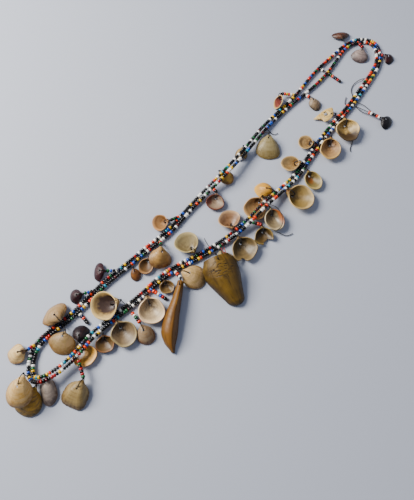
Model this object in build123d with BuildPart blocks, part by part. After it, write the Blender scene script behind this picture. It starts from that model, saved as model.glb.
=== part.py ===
"""A long necklace of sea shells and two horn sheaths, tied to a double string of seed beads.

It lies on a table as one closed loop. Millimetres. The origin is on the table, under the middle
of the whole: +X runs along the loop from its front end to the nape of the neck, and +Z is up.
"""

from build123d import *
from collections import namedtuple
from math import atan, cos, degrees, exp, log, radians, sin, sqrt, tan
import os

# Bead strings, their beaded drops, and the thread and knots that tie the shells on
BEAD_DIAMETER = 2.2
DROP_DIAMETER = 1.8
THREAD_DIAMETER = 0.5
KNOT_DIAMETER = 0.9
KNOT_DEPTH = 0.3
THREAD_CLEARANCE = 0.9
ARC_SHARE = 0.45
TRACK_STEP = 0.5

# Where the loop lies on the table
SHIFT_X = 6.24
SHIFT_Y = 9.01

# Shells: the wall grows with the length, and the growth rings turn about the hinge
WALL_BASE = 0.3
WALL_SHARE = 0.045
BEAK_SHARE = 0.05
RING_TURNS = (0, 18, 38, 60, 88, 125)
MOUTH_TURN = -6
CAVITY_SHARES = (0.33, 0.66, 1.0)
CAVITY_TIP = 0.25
HOLE_TURN = 50
HOLE_DIAMETER = 1.9
LOOP_CENTRE_SHARE = 0.4

# Horn sheaths
HORN_WALL = 1.4
HORN_HOLE_INSET = 3.0
HORN_LOOP_RADIUS = 2.2

# Star fragment
STAR_THICKNESS = 1.6
STAR_CORNER_RADIUS = 0.8
STAR_HOLE_DIAMETER = 2.6
STAR_HOLE_INSET = 2.2
STAR_LOOP_RADIUS = 1.7

# The loop's centre line, from the nape along the upper side to the front and back: its place,
# the height of the strings' centres above the table, and the distance between the two strings
RoutePoint = namedtuple("RoutePoint", "x y height spacing")
ROUTE = [
    RoutePoint(141, 19.0, 1.1, 2.5),
    RoutePoint(131, 18.4, 1.1, 3.2),
    RoutePoint(119, 17.5, 1.1, 6.4),
    RoutePoint(105, 16.8, 1.1, 7.2),
    RoutePoint(92, 16.2, 1.1, 5.0),
    RoutePoint(80, 16.2, 1.1, 2.5),
    RoutePoint(66, 16.7, 1.1, 2.5),
    RoutePoint(50, 16.3, 2.0, 2.5),
    RoutePoint(36, 13.8, 4.4, 2.5),
    RoutePoint(20, 12.3, 5.0, 2.5),
    RoutePoint(4, 10.9, 6.6, 2.5),
    RoutePoint(-12, 12.2, 1.6, 2.5),
    RoutePoint(-28, 11.7, 1.1, 2.5),
    RoutePoint(-44, 10.2, 1.1, 2.5),
    RoutePoint(-60, 12.0, 1.1, 2.5),
    RoutePoint(-76, 13.3, 1.1, 2.5),
    RoutePoint(-92, 15.0, 1.1, 2.5),
    RoutePoint(-106, 14.4, 1.1, 2.5),
    RoutePoint(-118, 14.2, 1.1, 2.5),
    RoutePoint(-130, 15.9, 1.1, 2.5),
    RoutePoint(-141, 16.4, 1.1, 2.5),
    RoutePoint(-150, 11.0, 1.1, 2.5),
    RoutePoint(-155, 3.6, 2.4, 2.5),
    RoutePoint(-150, -2.2, 6.6, 2.5),
    RoutePoint(-140, -4.0, 3.8, 2.5),
    RoutePoint(-128, -4.6, 5.4, 2.5),
    RoutePoint(-120.5, -3.3, 4.9, 2.5),
    RoutePoint(-113, -2.4, 1.6, 2.5),
    RoutePoint(-98, -4.2, 1.1, 2.5),
    RoutePoint(-84, -6.0, 1.1, 2.5),
    RoutePoint(-69, -6.1, 1.1, 2.5),
    RoutePoint(-56, -8.8, 1.1, 2.5),
    RoutePoint(-44, -13.4, 1.1, 2.5),
    RoutePoint(-29, -17.4, 1.1, 2.5),
    RoutePoint(-12, -20.6, 3.4, 2.5),
    RoutePoint(6, -20.7, 6.2, 2.5),
    RoutePoint(22, -21.3, 2.8, 2.5),
    RoutePoint(38, -21.5, 1.1, 2.5),
    RoutePoint(54, -18.7, 1.1, 2.5),
    RoutePoint(70, -16.3, 1.1, 2.5),
    RoutePoint(86, -14.9, 1.1, 2.5),
    RoutePoint(102, -14.2, 1.1, 2.5),
    RoutePoint(118, -11.9, 1.1, 2.5),
    RoutePoint(132, -9.8, 1.1, 2.5),
    RoutePoint(144, -7.0, 1.1, 2.5),
    RoutePoint(153, -0.6, 1.1, 2.5),
    RoutePoint(157, 7.5, 1.1, 2.5),
    RoutePoint(151, 15.8, 1.1, 2.5),
]
HALF_WAY = 23
STRINGS = {"outer": 1, "inner": -1}

# One row for each shell. x, y: where its hinge lies; heading: from the hinge to the far edge;
# depth: share of the length; widest: share of the length at which it is widest; face: crown or
# cup up; lean: how far the hinge is raised; string and link: which string it is tied to, by
# beads or bare thread; roll: how far its left side is raised; rest: its lowest point above the
# table; lead: how far along the string the drop starts from the nearest point
Shell = namedtuple("Shell", "name x y heading length width depth widest face lean string link "
                            "roll rest lead", defaults=(0, 0, 0))
SHELLS = [
    Shell("shell_01_dark_fan", 143.5, 24.0, 50, 8.0, 12.4, 0.30, 0.60, "crown", 14, "outer", "thread"),
    Shell("shell_02_grey_fan", 145.0, 8.0, -160, 10.2, 11.4, 0.26, 0.58, "crown", 12, "inner", "beads"),
    Shell("shell_03_grey_oval", 88.0, 8.3, -100, 9.4, 8.1, 0.28, 0.50, "crown", 12, "inner", "beads"),
    Shell("shell_04_maroon_cup", 75.9, 24.9, -151, 10.8, 7.5, 0.30, 0.52, "cup", 10, "outer", "beads",
          roll=40, lead=-6),
    Shell("shell_05_cream_fan", 46.5, 9.8, -143, 16.0, 14.7, 0.24, 0.64, "crown", 9, "inner", "thread"),
    Shell("shell_06_tan_fragment", 29.5, 16.5, -151, 10.4, 7.8, 0.24, 0.55, "crown", 8,
          "outer", "thread"),
    Shell("shell_07_tan_round", 5.7, 14.6, -88, 10.2, 9.2, 0.26, 0.50, "crown", 8, "outer", "thread"),
    Shell("shell_08_white_pink_cup", -7.1, 6.0, -147, 10.6, 11.1, 0.28, 0.50, "cup", 10,
          "inner", "beads"),
    Shell("shell_09_tan_cup", -39.9, 15.2, 144, 9.9, 10.8, 0.28, 0.50, "cup", 10, "outer", "beads",
          lead=-4),
    Shell("shell_10_tan_dome", -55.6, 6.0, -137, 12.8, 13.4, 0.30, 0.50, "crown", 9, "inner", "beads",
          roll=-22, lead=-2),
    Shell("shell_11_tan_cup", -64.4, 7.0, -152, 9.8, 8.8, 0.24, 0.50, "cup", 6, "inner", "thread"),
    Shell("shell_12_small_brown", -74.8, 9.0, -115, 7.7, 6.0, 0.28, 0.50, "crown", 14,
          "inner", "thread"),
    Shell("shell_13_purple_dome", -87.2, 19.8, 133, 6.8, 11.5, 0.34, 0.50, "crown", 16,
          "outer", "beads", lead=-4),
    Shell("shell_14_yellow_cup", -94.5, 0.9, 154, 15.0, 17.2, 0.32, 0.55, "cup", 8, "inner", "thread"),
    Shell("shell_15_dark_red_dome", -105.2, 19.0, 148, 7.6, 8.6, 0.34, 0.50, "crown", 14,
          "outer", "beads", lead=-4),
    Shell("shell_16_banded_dome", -124.0, 0.2, 43, 9.6, 9.2, 0.32, 0.50, "crown", 12, "inner", "beads"),
    Shell("shell_17_cream_pink_dome", -123.4, 15.5, 89, 12.0, 15.8, 0.32, 0.52, "crown", 20,
          "inner", "thread"),
    Shell("shell_18_flat_cream", -125.8, 9.8, -149, 12.5, 15.2, 0.24, 0.50, "crown", 11,
          "inner", "thread"),
    Shell("shell_19_cream_brown_band", -147.0, 17.5, 150, 10.8, 10.2, 0.32, 0.50, "crown", 12,
          "outer", "beads", lead=-4),
    Shell("shell_20_peach_dome", -155.2, 5.4, -151, 16.3, 13.6, 0.32, 0.50, "crown", 10,
          "outer", "thread", rest=6.0),
    Shell("shell_21_brown_ridged", -156.0, -1.5, -164, 15.2, 15.8, 0.30, 0.50, "crown", 8,
          "outer", "thread"),
    Shell("shell_22_silver_narrow", -147.8, -1.0, -126, 15.6, 9.5, 0.24, 0.50, "crown", 4,
          "inner", "thread"),
    Shell("shell_23_green_cream", -136.6, -17.1, -164, 15.6, 14.1, 0.30, 0.50, "crown", 9,
          "outer", "beads", lead=3),
    Shell("shell_24_amber_cup", -123.9, -2.1, -122, 12.3, 12.8, 0.24, 0.50, "cup", 4,
          "inner", "thread"),
    Shell("shell_25_brown_cup", -113.0, -6.9, -121, 9.6, 10.8, 0.28, 0.50, "cup", 8, "outer", "thread"),
    Shell("shell_26_grey_cream_cup", -102.6, -7.6, -107, 15.0, 14.6, 0.28, 0.50, "cup", 8,
          "outer", "thread"),
    Shell("shell_27_cream_red_marks", -94.9, -18.4, -110, 11.2, 10.3, 0.32, 0.50, "crown", 12,
          "outer", "beads"),
    Shell("shell_28_white_cup", -81.7, -9.8, -117, 15.8, 15.2, 0.30, 0.50, "cup", 8, "outer", "thread"),
    Shell("shell_29_small_brown_cup", -67.8, -9.4, -117, 8.0, 8.6, 0.30, 0.50, "cup", 8,
          "outer", "thread"),
    Shell("shell_30_fine_ribbed", -57.5, -13.6, -66, 14.4, 14.2, 0.32, 0.50, "crown", 9,
          "outer", "thread"),
    Shell("shell_31_pale_hidden", -33.3, -21.0, -119, 15.1, 14.6, 0.26, 0.50, "crown", 9,
          "outer", "thread"),
    Shell("shell_32_cream_grey_cup", -43.6, -10.0, 83, 14.2, 14.3, 0.28, 0.50, "cup", 8,
          "inner", "thread"),
    Shell("shell_33_grey_chipped_cup", -19.8, -23.2, -112, 15.2, 15.9, 0.28, 0.50, "cup", 8,
          "outer", "thread"),
    Shell("shell_34_tan_pink_cup", -17.4, -16.3, 61, 12.4, 13.6, 0.28, 0.50, "cup", 8,
          "inner", "thread"),
    Shell("shell_35_broken_cup", -4.9, -28.9, -130, 11.4, 11.6, 0.30, 0.58, "cup", 8, "outer", "beads",
          lead=-3),
    Shell("shell_36_triangular_cup", 9.6, -15.6, -165, 15.4, 13.3, 0.24, 0.60, "cup", 4,
          "inner", "thread"),
    Shell("shell_37_crumpled_cup", 7.3, -24.8, -121, 14.6, 11.9, 0.28, 0.50, "cup", 8,
          "outer", "thread"),
    Shell("shell_38_yellow_ribbed", 17.2, -17.8, 113, 11.4, 10.6, 0.32, 0.52, "crown", 12,
          "inner", "thread"),
    Shell("shell_39_large_cream_cup", 23.4, -25.0, -76, 17.0, 16.3, 0.30, 0.50, "cup", 8,
          "outer", "thread"),
    Shell("shell_40_streaked_cup", 43.1, -25.2, -113, 13.0, 11.0, 0.26, 0.50, "cup", 8,
          "outer", "thread"),
    Shell("shell_41_cream_tan_cup", 44.6, -17.4, 139, 12.2, 10.4, 0.32, 0.50, "cup", 8,
          "inner", "thread"),
    Shell("shell_42_notched_cup", 71.4, -21.0, -145, 15.6, 13.5, 0.30, 0.50, "cup", 8,
          "outer", "thread"),
    Shell("shell_43_brown_centre_cup", 62.2, -14.4, 128, 9.7, 10.3, 0.30, 0.50, "cup", 8,
          "inner", "thread"),
    Shell("shell_44_dark_edged_cup", 89.0, -18.6, -127, 16.4, 16.2, 0.28, 0.52, "cup", 8,
          "outer", "thread"),
    Shell("shell_45_black_dome", 107.0, -35.5, -81, 7.6, 10.7, 0.32, 0.50, "crown", 14,
          "outer", "beads"),
    Shell("shell_46_dark_round", 151.5, -6.6, -80, 6.8, 8.9, 0.32, 0.50, "crown", 14, "outer", "beads"),
]

# Broken edges: a round bite of this radius, at this share of the length and of the half width
Bite = namedtuple("Bite", "shell along across radius")
BITES = [
    Bite("shell_06_tan_fragment", 1.05, 0.75, 3.2),
    Bite("shell_33_grey_chipped_cup", 0.98, 0.55, 1.6),
    Bite("shell_35_broken_cup", 1.08, -0.55, 4.2),
    Bite("shell_42_notched_cup", 1.04, 0.15, 1.6),
]

# Horn sheaths, each an arched trough lofted through stations along its length. share: of the
# length; bow and half_width: sideways shift and half width, shares of the width; height: share
Horn = namedtuple("Horn", "name x y heading length width height lean string link face roll rest lead "
                          "stations")
Station = namedtuple("Station", "share bow half_width height")
HORNS = [
    Horn("horn_slim", -62.0, -16.6, -146, 40.0, 9.4, 6.4, 3, "outer", "beads", "crown", 0, 0, 0, [
        Station(0.00, 0.00, 0.20, 0.60),
        Station(0.25, -0.05, 0.29, 0.85),
        Station(0.50, -0.14, 0.42, 1.00),
        Station(0.75, -0.13, 0.50, 0.95),
        Station(0.90, 0.03, 0.32, 0.65),
        Station(1.00, 0.28, 0.10, 0.30),
    ]),
    Horn("horn_broad", -38.5, -22.0, -115, 30.0, 20.0, 7.5, 10, "outer", "thread", "crown", 0, 0, 0, [
        Station(0.00, 0.00, 0.38, 0.80),
        Station(0.15, 0.00, 0.49, 1.00),
        Station(0.40, 0.00, 0.50, 1.00),
        Station(0.70, 0.04, 0.36, 0.80),
        Station(0.92, 0.08, 0.22, 0.50),
        Station(1.00, 0.09, 0.08, 0.25),
    ]),
]

# The star fragment, a flat piece with three points: its corners round its decorative hole
Star = namedtuple("Star", "name x y heading lean string link face roll rest lead")
Corner = namedtuple("Corner", "turn reach")
STAR = Star("shell_47_star_fragment", 88.0, -11.0, 130, 12, "inner", "thread", "crown", 0, 0, 0)
STAR_CORNERS = [
    Corner(180, 4.6),
    Corner(125, 4.4),
    Corner(72, 6.0),
    Corner(45, 4.2),
    Corner(19, 9.5),
    Corner(-30, 4.2),
    Corner(-80, 4.4),
    Corner(-125, 7.0),
]

# Beaded drops that carry no shell: where they leave their string and where they end
BareDrop = namedtuple("BareDrop", "string x y end_x end_y")
BARE_DROPS = [
    BareDrop("outer", 113.1, 20.4, 113.4, 16.9),
    BareDrop("inner", 113.4, 14.0, 114.0, 2.6),
    BareDrop("outer", -77.2, -7.4, -74.6, -17.8),
    BareDrop("inner", -113.0, 12.0, -114.2, 4.6),
]

# A thread loop lies in its piece's own XZ plane and passes through the piece's hole
Loop = namedtuple("Loop", "x z radius hole_x hole_z")


def growth_rate(shell):
    """How fast a valve shrinks towards its beak, per radian, from its depth."""
    low, high = 0.2, 4.0
    for _ in range(40):
        rate = (low + high) / 2
        if exp(-rate * atan(1 / rate)) / sqrt(1 + rate**2) > shell.depth:
            low = rate
        else:
            high = rate
    return rate


def ring_wall(shell):
    """The wall of a valve, measured in the planes of its growth rings."""
    return (WALL_BASE + WALL_SHARE * shell.length) * sqrt(1 + growth_rate(shell)**2)


def ring_plane(turn):
    """The plane of the growth ring that is turned by this angle about the hinge."""
    angle = radians(turn)
    return Plane(origin=(0, 0, 0), x_dir=(cos(angle), 0, sin(angle)), z_dir=(-sin(angle), 0, cos(angle)))


def ring_sizes(shell, turn, inset):
    """The near edge, widest line, far edge and half width of one growth ring, less an inset."""
    scale = exp(-growth_rate(shell) * radians(turn))
    near = BEAK_SHARE * shell.length * scale + inset
    far = shell.length * scale - inset
    widest = near + (far - near) * shell.widest
    return near, widest, far, shell.width * scale / 2 - inset


def cavity_turn(shell):
    """How far round the hinge the cavity reaches before its walls meet."""
    narrowest = min(shell.length * (1 - BEAK_SHARE), shell.width)
    return degrees(-log(2 * (ring_wall(shell) + CAVITY_TIP) / narrowest) / growth_rate(shell))


def shell_loop(shell):
    """The thread loop that holds a valve: through its hole, over its beak and under its hinge."""
    reach = shell.length * exp(-growth_rate(shell) * radians(HOLE_TURN)) - ring_wall(shell) / 2
    hole_x = reach * cos(radians(HOLE_TURN))
    hole_z = reach * sin(radians(HOLE_TURN))
    below = THREAD_DIAMETER / 2 + THREAD_CLEARANCE
    centre_x = LOOP_CENTRE_SHARE * hole_x
    radius = ((hole_x - centre_x)**2 + (hole_z + below)**2) / (2 * (hole_z + below))
    return Loop(centre_x, radius - below, radius, hole_x, hole_z)


def horn_loop(horn):
    """The thread loop at the open end of a horn sheath."""
    first, second = horn.stations[:2]
    way = HORN_HOLE_INSET / (second.share * horn.length)
    height = horn.height * (first.height + (second.height - first.height) * way)
    hole_z = height - HORN_WALL / 2
    return Loop(HORN_HOLE_INSET - HORN_LOOP_RADIUS, hole_z, HORN_LOOP_RADIUS, HORN_HOLE_INSET, hole_z)


def star_loop():
    """The thread loop round the edge of the star fragment."""
    middle = STAR_THICKNESS / 2
    return Loop(STAR_HOLE_INSET - STAR_LOOP_RADIUS, middle, STAR_LOOP_RADIUS, STAR_HOLE_INSET, middle)


def hole_plane(loop):
    """The plane across the thread hole, square to the loop where it passes through."""
    direction = (loop.z - loop.hole_z, 0, loop.hole_x - loop.x)
    return Plane(origin=(loop.hole_x, 0, loop.hole_z), x_dir=(0, 1, 0), z_dir=direction)


def lying_plane(piece, height=0.0):
    """A piece's own plane where it lies: hinge at its origin, +X to its far edge, +Z out of its crown."""
    heading, lean, roll = radians(piece.heading), radians(piece.lean), radians(piece.roll)
    along = Vector(cos(heading) * cos(lean), sin(heading) * cos(lean), -sin(lean))
    level = Vector(-sin(heading), cos(heading), 0)
    raised = along.cross(level) * cos(roll) - level * sin(roll)
    if piece.face == "cup":
        raised = raised * -1
    return Plane(origin=(piece.x + SHIFT_X, piece.y + SHIFT_Y, height), x_dir=along, z_dir=raised)


def seat(piece, solid, loop):
    """The plane that sets a piece, or its thread loop if that is lower, at its height on the table."""
    plane = lying_plane(piece)
    lowest = solid.moved(plane.location).bounding_box().min.Z
    centre = plane.from_local_coords(Vector(loop.x, 0, loop.z))
    drop = loop.radius * sqrt(plane.x_dir.Z**2 + plane.z_dir.Z**2) + THREAD_DIAMETER / 2
    return lying_plane(piece, piece.rest - min(lowest, centre.Z - drop))


def valve(shell):
    """One valve in its own frame: a spiral dome of growth rings, its cavity, thread hole and bites."""
    inset = ring_wall(shell)
    loop = shell_loop(shell)
    cavity_turns = (MOUTH_TURN, *[share * cavity_turn(shell) for share in CAVITY_SHARES])
    with BuildPart() as body:
        for turns, wall, mode in ((RING_TURNS, 0, Mode.ADD), (cavity_turns, inset, Mode.SUBTRACT)):
            for turn in turns:
                near, widest, far, half_width = ring_sizes(shell, turn, wall)
                with BuildSketch(ring_plane(turn)):
                    with BuildLine():
                        EllipticalCenterArc((widest, 0), far - widest, half_width, 0, arc_size=90)
                        EllipticalCenterArc((widest, 0), widest - near, half_width, 90, arc_size=90)
                        Line((near, 0), (far, 0))
                    make_face()
            loft(mode=mode)
        mirror(about=Plane.XZ)
        with BuildSketch(hole_plane(loop)):
            Circle(HOLE_DIAMETER / 2)
        extrude(amount=loop.hole_z + inset, both=True, mode=Mode.SUBTRACT)
        for bite in BITES:
            if bite.shell == shell.name:
                with BuildSketch(Plane.XY):
                    with Locations((bite.along * shell.length, bite.across * shell.width / 2)):
                        Circle(bite.radius)
                extrude(amount=shell.length, both=True, mode=Mode.SUBTRACT)
    return body.part


def horn_sheath(horn):
    """One horn sheath in its own frame: an arched trough, open below and at its near end."""
    loop = horn_loop(horn)
    with BuildPart() as body:
        for station in horn.stations:
            origin = (station.share * horn.length, station.bow * horn.width, 0)
            with BuildSketch(Plane(origin=origin, x_dir=(0, 1, 0), z_dir=(1, 0, 0))):
                with BuildLine():
                    half_width = station.half_width * horn.width
                    EllipticalCenterArc((0, 0), half_width, station.height * horn.height, 0, arc_size=180)
                    Line((-half_width, 0), (half_width, 0))
                make_face()
        loft()
        for station in horn.stations[:-1]:
            start = station.share * horn.length if station.share > 0 else -HORN_WALL
            origin = (start, station.bow * horn.width, 0)
            with BuildSketch(Plane(origin=origin, x_dir=(0, 1, 0), z_dir=(1, 0, 0))):
                with BuildLine():
                    half_width = station.half_width * horn.width - HORN_WALL
                    height = station.height * horn.height - HORN_WALL
                    EllipticalCenterArc((0, 0), half_width, height, 0, arc_size=180)
                    Polyline((-half_width, 0), (-half_width, -HORN_WALL), (half_width, -HORN_WALL),
                             (half_width, 0))
                make_face()
        loft(mode=Mode.SUBTRACT)
        with BuildSketch(Plane.XY):
            with Locations((loop.hole_x, 0)):
                Circle(HOLE_DIAMETER / 2)
        extrude(amount=horn.height, mode=Mode.SUBTRACT)
    return body.part


def star_fragment():
    """The star fragment in its own frame: a rounded flat star with two holes."""
    centre = STAR_CORNERS[0].reach
    with BuildPart() as body:
        with BuildSketch():
            with BuildLine():
                Polyline(*[(centre + corner.reach * cos(radians(corner.turn)),
                            corner.reach * sin(radians(corner.turn))) for corner in STAR_CORNERS],
                         close=True)
            make_face()
            fillet(vertices(), STAR_CORNER_RADIUS)
            with Locations((centre, 0)):
                Circle(STAR_HOLE_DIAMETER / 2, mode=Mode.SUBTRACT)
            with Locations((STAR_HOLE_INSET, 0)):
                Circle(HOLE_DIAMETER / 2, mode=Mode.SUBTRACT)
        extrude(amount=STAR_THICKNESS)
    return body.part


def string_corners(side):
    """The route's corners for one string, beside the loop's centre line."""
    corners = []
    for before, here, after in zip(ROUTE[-1:] + ROUTE[:-1], ROUTE, ROUTE[1:] + ROUTE[:1]):
        arrive = Vector(here.x - before.x, here.y - before.y).normalized()
        leave = Vector(after.x - here.x, after.y - here.y).normalized()
        outward = Vector(arrive.Y + leave.Y, -arrive.X - leave.X).normalized()
        offset = side * here.spacing / 2 / outward.dot(Vector(leave.Y, -leave.X))
        corners.append(Vector(here.x + SHIFT_X, here.y + SHIFT_Y, here.height) + outward * offset)
    return corners


def arc_radii(corners):
    """The radius of the arc at each corner, as large as the two runs beside it allow."""
    radii = []
    for before, here, after in zip(corners[-1:] + corners[:-1], corners, corners[1:] + corners[:1]):
        turn = radians((here - before).get_angle(after - here))
        radii.append(ARC_SHARE * min((here - before).length, (after - here).length) / tan(turn / 2))
    return radii


def tie(start, end, diameter):
    """A straight beaded drop or bare thread from a string to a thread loop."""
    stem = Cylinder(diameter / 2, (end - start).length, align=(Align.CENTER, Align.CENTER, Align.MIN),
                    mode=Mode.PRIVATE)
    return stem.moved(Plane(origin=start, z_dir=end - start).location)


def bead_string(name, seats):
    """One closed bead string, swept in two halves, with its drops and thread loops."""
    corners = string_corners(STRINGS[name])
    radii = arc_radii(corners)
    print(f"{name} string radii:", " ".join(f"{radius:.1f}" for radius in radii))
    track = []
    with BuildPart() as string:
        for first, last in ((0, HALF_WAY), (HALF_WAY, len(corners))):
            start = (corners[first - 1] + corners[first]) * 0.5
            end = (corners[last - 1] + corners[last % len(corners)]) * 0.5
            with BuildLine() as path:
                FilletPolyline(start, *corners[first:last], end, radius=radii[first:last])
            wire = path.wire()
            steps = round(wire.length / TRACK_STEP)
            track += [wire.position_at(step / steps) for step in range(steps)]
            with BuildSketch(Plane(origin=start, z_dir=corners[first] - start)):
                Circle(BEAD_DIAMETER / 2)
            sweep(path=wire)
            print(f"{name} half: length {wire.length:.1f}")
        fittings = []
        for piece, plane, loop in seats:
            if piece.string == name:
                ring = Torus(loop.radius, THREAD_DIAMETER / 2, mode=Mode.PRIVATE)
                centre = plane.from_local_coords(Vector(loop.x, 0, loop.z))
                far = centre - plane.x_dir * loop.radius
                nearest = min(range(len(track)), key=lambda step: (track[step] - far).length)
                leave = track[(nearest + round(piece.lead / TRACK_STEP)) % len(track)]
                lying = Plane(origin=centre, x_dir=plane.x_dir, z_dir=plane.y_dir)
                fittings.append(ring.moved(lying.location))
                if piece.link == "beads":
                    fittings.append(tie(leave, far, DROP_DIAMETER))
                else:
                    past = (far - leave).normalized() * KNOT_DEPTH
                    fittings.append(tie(leave, far + past, KNOT_DIAMETER))
        for drop in BARE_DROPS:
            if drop.string == name:
                end = Vector(drop.end_x + SHIFT_X, drop.end_y + SHIFT_Y, DROP_DIAMETER / 2)
                start = Vector(drop.x + SHIFT_X, drop.y + SHIFT_Y)
                leave = min(track, key=lambda spot: (spot - start).length)
                fittings.append(tie(leave, end, DROP_DIAMETER))
        add(fittings)
    return string.part


def save(solid, name):
    """Labels one piece and writes it."""
    solid.label = name
    export_step(solid, f"parts/{name}.step")


def main():
    os.makedirs("parts", exist_ok=True)
    seats = []
    pieces = [(shell, valve(shell), shell_loop(shell)) for shell in SHELLS]
    pieces += [(horn, horn_sheath(horn), horn_loop(horn)) for horn in HORNS]
    pieces.append((STAR, star_fragment(), star_loop()))
    solids = {}
    for piece, solid, loop in pieces:
        plane = seat(piece, solid, loop)
        seats.append((piece, plane, loop))
        solids[piece.name] = solid.moved(plane.location)
    for name in STRINGS:
        solids[f"bead_string_{name}"] = bead_string(name, seats)
    for name, solid in solids.items():
        save(solid, name)
    return solids


solids = main()
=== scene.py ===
"""A long shell necklace: sea shells and two horn sheaths tied to a double string of seed beads."""

from collections import namedtuple
from math import atan, atan2, cos, degrees, exp, hypot, pi, radians, sin, sqrt
from random import Random

import bmesh
import bpy
from mathutils import Matrix, Vector


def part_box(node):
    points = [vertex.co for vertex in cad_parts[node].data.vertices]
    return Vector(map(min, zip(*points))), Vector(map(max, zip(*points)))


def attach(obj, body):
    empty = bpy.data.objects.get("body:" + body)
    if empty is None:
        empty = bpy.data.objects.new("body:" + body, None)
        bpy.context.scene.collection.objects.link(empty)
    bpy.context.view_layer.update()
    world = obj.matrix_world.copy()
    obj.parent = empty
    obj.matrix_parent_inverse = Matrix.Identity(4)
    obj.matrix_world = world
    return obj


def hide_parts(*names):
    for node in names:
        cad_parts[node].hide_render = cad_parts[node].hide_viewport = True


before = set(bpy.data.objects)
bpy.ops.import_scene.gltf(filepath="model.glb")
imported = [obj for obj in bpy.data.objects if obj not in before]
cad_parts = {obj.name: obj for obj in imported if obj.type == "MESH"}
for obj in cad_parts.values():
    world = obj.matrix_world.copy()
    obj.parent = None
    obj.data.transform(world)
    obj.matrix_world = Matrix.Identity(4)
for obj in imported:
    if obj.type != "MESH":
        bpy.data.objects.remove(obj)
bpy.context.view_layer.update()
bpy.ops.object.select_all(action="DESELECT")

# All sizes and places are in millimetres, and a piece is brought to metres when it is finished
MILLIMETRE = 0.001
TO_METRES = Matrix.Scale(MILLIMETRE, 4)

# Seed beads and thread
BEAD_WIDTH = 2.25
BEAD_LENGTH = 1.42
BEAD_PITCH = 1.5
BEAD_RIM = 0.3
BEAD_HOLE_INSET = 0.32
THREAD_WIDTH = 0.45
DROP_END_HEIGHT = 0.9
DROP_END_GAP = 0.3

# Shells: growth rings about the hinge, as the solids have them, and a wall that grows with the length
RING_POINTS = 72
RING_STEPS = 22
SMOOTH_RINGS = 3
LAST_TURN = 125
BEAK_SHARE = 0.05
WALL_BASE = 0.3
WALL_SHARE = 0.045
MARGIN_WALL = 0.62
THINNEST_WALL = 0.22
HOLE_TURN = 50
HOLE_WIDTH = 1.25
LOOP_CENTRE_SHARE = 0.4
LOOP_BELOW = 1.15
RIB_SHARE = 0.2
RIDGE_HEIGHTS = (0.0, 0.0, 0.008, 0.016)

# Pushes that make a margin uneven: their number, their turn in radians, and as shares of the
# shell's length how far they go in and out, the stretch that is pushed and how far it pulls along
PUSHES = 5
PUSH_TURN = 2.3
PUSH_IN, PUSH_OUT = -0.035, 0.03
PUSH_SHARE = 0.07
PUSH_REACH = 0.28

# How the edges are worn: to what width, in how many steps and from what angle
WornEdge = namedtuple("WornEdge", "width steps angle")
SHELL_EDGE = WornEdge(0.16, 2, 55)
HORN_EDGE = WornEdge(0.3, 2, 50)
STAR_EDGE = WornEdge(0.35, 3, 40)

# Horn sheaths and the star fragment
HORN_WALL = 1.4
HORN_POINTS = 56
HORN_STEPS = 40
HORN_TIP = 0.9999
HORN_CREST = 0.06
HORN_CREST_RISE = 0.12
HORN_HOLE_INSET = 3.0
HORN_LOOP_RADIUS = 2.2
STAR_REACH = 10
STAR_THICKNESS = 1.6
STAR_SHOULDER = 0.6
STAR_CORNER = 1.3
STAR_HOLE_RADIUS = 1.3
STAR_HOLE_INSET = 2.2
STAR_LOOP_RADIUS = 1.7

# Camera and lamps, in metres
CAMERA_PLACE = (-0.10516, -0.07379, 0.264)
CAMERA_AIM = (0.263, 0.244, -0.934)
CAMERA_LENS = 34.56
Lamp = namedtuple("Lamp", "name place size energy")
LAMPS = [Lamp("window", (-0.22, 0.55, 0.5), 0.36, 15.0), Lamp("fill", (0.5, -0.5, 0.7), 0.9, 1.2)]

# The loop's centre line: its place, the height of the strings above the table, and the distance
# between the two strings
RoutePoint = namedtuple("RoutePoint", "x y height spacing", defaults=(1.1, 2.5))
ROUTE = [
    RoutePoint(147.2, 28.0), RoutePoint(137.2, 27.4, spacing=3.2), RoutePoint(125.2, 26.5, spacing=6.4),
    RoutePoint(111.2, 25.8, spacing=7.2), RoutePoint(98.2, 25.2, spacing=5.0), RoutePoint(86.2, 25.2),
    RoutePoint(72.2, 25.7), RoutePoint(56.2, 25.3, 2.0), RoutePoint(42.2, 22.8, 4.4),
    RoutePoint(26.2, 21.3, 5.0), RoutePoint(10.2, 19.9, 6.6), RoutePoint(-5.8, 21.2, 1.6),
    RoutePoint(-21.8, 20.7), RoutePoint(-37.8, 19.2), RoutePoint(-53.8, 21.0), RoutePoint(-69.8, 22.3),
    RoutePoint(-85.8, 24.0), RoutePoint(-99.8, 23.4), RoutePoint(-111.8, 23.2), RoutePoint(-123.8, 24.9),
    RoutePoint(-134.8, 25.4), RoutePoint(-143.8, 20.0), RoutePoint(-148.8, 12.6, 2.4),
    RoutePoint(-143.8, 6.8, 6.6), RoutePoint(-133.8, 5.0, 3.8), RoutePoint(-121.8, 4.4, 5.4),
    RoutePoint(-114.3, 5.7, 4.9), RoutePoint(-106.8, 6.6, 1.6), RoutePoint(-91.8, 4.8),
    RoutePoint(-77.8, 3.0), RoutePoint(-62.8, 2.9), RoutePoint(-49.8, 0.2), RoutePoint(-37.8, -4.4),
    RoutePoint(-22.8, -8.4), RoutePoint(-5.8, -11.6, 3.4), RoutePoint(12.2, -11.7, 6.2),
    RoutePoint(28.2, -12.3, 2.8), RoutePoint(44.2, -12.5), RoutePoint(60.2, -9.7), RoutePoint(76.2, -7.3),
    RoutePoint(92.2, -5.9), RoutePoint(108.2, -5.2), RoutePoint(124.2, -2.9), RoutePoint(138.2, -0.8),
    RoutePoint(150.2, 2.0), RoutePoint(159.2, 8.4), RoutePoint(163.2, 16.5), RoutePoint(157.2, 24.8),
]

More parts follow.
